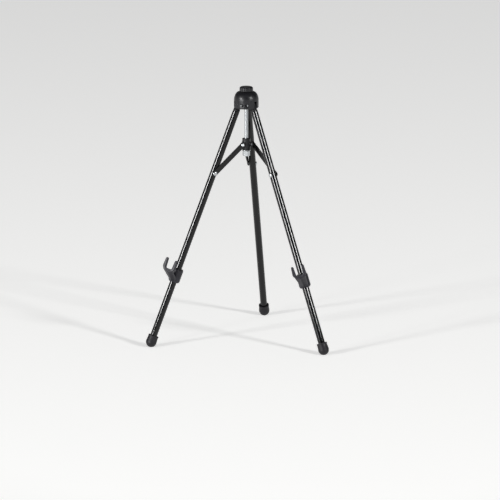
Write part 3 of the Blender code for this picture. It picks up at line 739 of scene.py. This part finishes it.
def fork_outline():
    """Fork seen from the front: X across the holder and Y up the leg."""
    tip = FORK_PRONG / 2
    notch_centre = NOTCH_FLOOR + NOTCH_RADIUS
    rim = NOTCH_RADIUS + NOTCH_RIM
    widening = FORK_WIDEST - rim
    right = []
    for a in (math.radians(6 * i) for i in range(17)):
        reach = rim + widening * max(0, math.sin(a)) ** 0.5
        right.append((reach * math.sin(a), notch_centre - rim * math.cos(a)))
    right += arc((FORK_TIPS - tip, FORK_TOP - tip), tip, 0, 180, 16)
    right += arc((0, notch_centre), NOTCH_RADIUS, 0, -90, 16)
    return right + [(-x, y) for x, y in reversed(right[1:-1])]


def arm_height(forward):
    """Height of the arm's upper face above the collar's lower end."""
    return ARM_TOP + (forward - ARM_START) * math.tan(ARM_SLOPE)


def arm_mesh():
    """Arm that widens towards the fork, flat on top and keeled below, with moulded corners."""
    shape = bmesh.new()
    rings = []
    for forward, width, keel in (
        (ARM_START, 10.4 * MM, 0.4 * MM), (FORK_REACH - 0.3 * MM, 15 * MM, 13.4 * MM)
    ):
        half, top, edge = width / 2, arm_height(forward), keel + 2.2 * MM
        section = [(0, keel), (half, edge), (half, top), (-half, top), (-half, edge)]
        section = rounded(section, [0.8 * MM] + [1.2 * MM] * 4, closed=True, steps=4)
        rings.append([shape.verts.new((forward, y, z)) for y, z in section])
    for i, start in enumerate(rings[0]):
        k = (i + 1) % len(rings[0])
        shape.faces.new((start, rings[0][k], rings[1][k], rings[1][i]))
    for ring in rings:
        shape.faces.new(ring)
    return mesh_from("arm", shape)


def make_holder(side):
    """Collar, keeled arm with a flat land on top, and fork, in one moulding."""
    rim, bevel = COLLAR_HEIGHT, 0.6 * MM
    collar = [(0, rim), (COLLAR_RADIUS - bevel, rim), (COLLAR_RADIUS, rim - bevel)]
    collar += arc((COLLAR_RADIUS - COLLAR_ROUND, COLLAR_ROUND), COLLAR_ROUND, 0, -90, 10) + [(0, 0)]
    body = turned_mesh("collar", collar, steps=96)
    start, length, half = 10.5 * MM, 13.5 * MM / math.cos(ARM_SLOPE), 5 * MM
    land = plate_mesh("land", [[(0, -half), (length, -half), (length, half), (0, half)]], 1.4 * MM)
    slope = Matrix.Rotation(-ARM_SLOPE, 4, "Y")
    land_place = shift(start, 0, arm_height(start)) @ slope @ shift(z=-0.3 * MM)
    fork = plate_mesh("fork", [fork_outline()], FORK_THICKNESS, 0.9 * MM, 4)
    top, lip, bottom = COLLAR_HEIGHT + 2 * MM, 1.2 * MM, -2 * MM
    wide, narrow = SLEEVE_RADIUS + GAP, TUBE_RADIUS + 0.6 * MM
    bore = turned_mesh("bore", [
        (0, top), (wide, top), (wide, lip), (narrow, lip), (narrow, bottom), (0, bottom)
    ])
    solids = [
        (body, IN_PLACE), (arm_mesh(), IN_PLACE), (land, land_place),
        (fork, shift(x=FORK_REACH - FORK_THICKNESS / 2) @ FACING),
    ]
    mesh = moulding_mesh("holder", solids, [(bore, IN_PLACE)], 0.3 * MM, 4)
    finish_piece(
        f"picture_holder_{side}", mesh, holder_frame(side), ABS, f"hook_{side}", "charcoal_plastic",
        f"holder_{side}", sharp=180,
    )


def make_sleeve(side):
    bore, rim = TUBE_RADIUS + GAP, 7.2 * MM
    bottom, flange = 1.5 * MM, COLLAR_HEIGHT + GAP
    top = flange + MM
    profile = rounded([
        (rim, top), (rim, flange), (SLEEVE_RADIUS, flange), (SLEEVE_RADIUS, bottom), (bore, bottom),
        (bore, top),
    ], 0.25 * MM, True)
    mesh = turned_mesh("sleeve", profile, closed=True)
    finish_piece(
        f"grip_bush_{side}", mesh, holder_frame(side), NYLON, f"grip_{side}", "black_nylon",
        f"grip_sleeve_{side}",
    )


for leg in SIDES:
    make_tube(leg)
    make_foot(leg)
    make_plug(leg)
    make_rivet(leg)
    make_crown_pin(leg)
    make_runner_pin(leg)
    make_strut(leg)
make_crown()
make_knob()
make_post()
make_runner()
for leg in FRONT:
    make_holder(leg)
    make_sleeve(leg)


# Studio

LAMPS = {"left": -44, "right": 58, "low front": -30}    # azimuths, 0 in front and 90 at the right
LAMP_DISTANCE = 5.0
SOFT_FILL = 0.12        # even light from all round on surfaces
FLOOR_REACH = 12.0      # from the easel to each side of the floor
PAPER_LIFT = 0.46       # what the floor adds of its own where it is the background
NEAR_LIFT = 0.02        # the same near a lamp, which lights the floor there more
NEAR_LAMP = 2.3         # distance from the nearest lamp up to which the lift is the lesser one
OFF_LAMP = 4.3          # distance from which it is the full one
FAR_FLOOR = 0.62        # level of the pale floor where it goes on past its edge
FAR_FLOOR_RISE = 0.09   # rise of a line of sight up to which it still shows the far floor
ROOM_RISE = 0.17        # rise from which it shows the dim room
ROOM_LIGHT = 0.08       # level of the dim room, as cameras and reflections see it
CAMERA_PLACE = (1.0129, AXIS_Y - 5.4405, 1.3961)
CAMERA_YAW = math.radians(10.494)
CAMERA_PITCH = math.radians(12.924)


def background_rays(material):
    """1 for rays that show the background: camera, glossy and transmission rays."""
    seen = add(material, "LightPath")
    shown = {0: seen["Is Camera Ray"], 1: seen["Is Glossy Ray"]}
    either = add(material, "Math", shown, operation="MAXIMUM")[0]
    return add(material, "Math", {0: either, 1: seen["Is Transmission Ray"]}, operation="MAXIMUM")[0]


def lamp_side(azimuth):
    """Level direction from the easel to a lamp."""
    a = math.radians(azimuth)
    return Vector((math.sin(a), -math.cos(a), 0))


def make_floor():
    """Pale paper floor, with no edge in sight from any side."""
    shape = bmesh.new()
    bmesh.ops.create_grid(shape, x_segments=1, y_segments=1, size=FLOOR_REACH)
    mesh = bpy.data.meshes.new("studio floor")
    shape.to_mesh(mesh)
    shape.free()
    floor = new_object("studio_floor", mesh)
    material = bare_material("white backdrop paper")
    paper = add(material, "BsdfDiffuse", {"Color": linear("f2f2f0")})[0]
    place = add(material, "TexCoord")["Object"]
    nearest = 2 * LAMP_DISTANCE
    for azimuth in LAMPS.values():
        foot = lamp_side(azimuth) * LAMP_DISTANCE
        reach = add(material, "VectorMath", {0: place, 1: foot}, operation="DISTANCE")["Value"]
        nearest = add(material, "Math", {0: nearest, 1: reach}, operation="MINIMUM")[0]
    evened = between(NEAR_LIFT, PAPER_LIFT, nearest, NEAR_LAMP, OFF_LAMP)
    lift = add(material, "MapRange", evened)["Result"]
    shown = between(0, lift, background_rays(material), 0, 1)
    level = add(material, "MapRange", shown)["Result"]
    glow = add(material, "Emission", {"Color": linear("ffffff"), "Strength": level})[0]
    both = add(material, "AddShader", {0: paper, 1: glow})[0]
    add(material, "OutputMaterial", {"Surface": both})
    mesh.materials.append(material)


def make_lamp(name, low, high, width, power):
    """Upright soft box between two heights."""
    back = lamp_side(LAMPS[name])
    lamp = bpy.data.lights.new(name, "AREA")
    lamp.shape = "RECTANGLE"
    lamp.size, lamp.size_y = width, high - low
    lamp.energy = power
    thing = bpy.data.objects.new(name, lamp)
    bpy.context.scene.collection.objects.link(thing)
    thing.location = back * LAMP_DISTANCE + Vector((0, 0, (low + high) / 2))
    thing.rotation_mode = "QUATERNION"
    thing.rotation_quaternion = (-back).to_track_quat("-Z", "Y")


def make_world():
    """Dim room above a pale band that carries the floor on, and a soft fill."""
    world = bpy.data.worlds.new("studio")
    bpy.context.scene.world = world
    world.use_nodes = True
    world.node_tree.nodes.clear()
    rise = add(world, "SeparateXYZ", {0: add(world, "TexCoord")["Generated"]})[2]
    band = between(FAR_FLOOR, ROOM_LIGHT, rise, FAR_FLOOR_RISE, ROOM_RISE)
    shown = add(world, "MapRange", band)["Result"]
    choice = between(SOFT_FILL, shown, background_rays(world), 0, 1)
    level = add(world, "MapRange", choice)["Result"]
    room = add(world, "Background", {"Color": linear("ffffff"), "Strength": level})[0]
    add(world, "OutputWorld", {"Surface": room})


def make_camera():
    camera = bpy.data.cameras.new("camera")
    camera.sensor_width = 36
    camera.lens = 295.6
    camera.clip_end = 50
    thing = bpy.data.objects.new("camera", camera)
    bpy.context.scene.collection.objects.link(thing)
    thing.location = CAMERA_PLACE
    thing.rotation_euler = (math.pi / 2 - CAMERA_PITCH, 0, CAMERA_YAW)
    bpy.context.scene.camera = thing


make_floor()
make_world()
make_lamp("left", 1.26, 1.98, 0.6, 126)
make_lamp("right", 1.97, 2.73, 0.6, 154)
make_lamp("low front", 0.06, 0.72, 0.55, 88)
make_camera()
bpy.context.scene.view_settings.view_transform = "Standard"
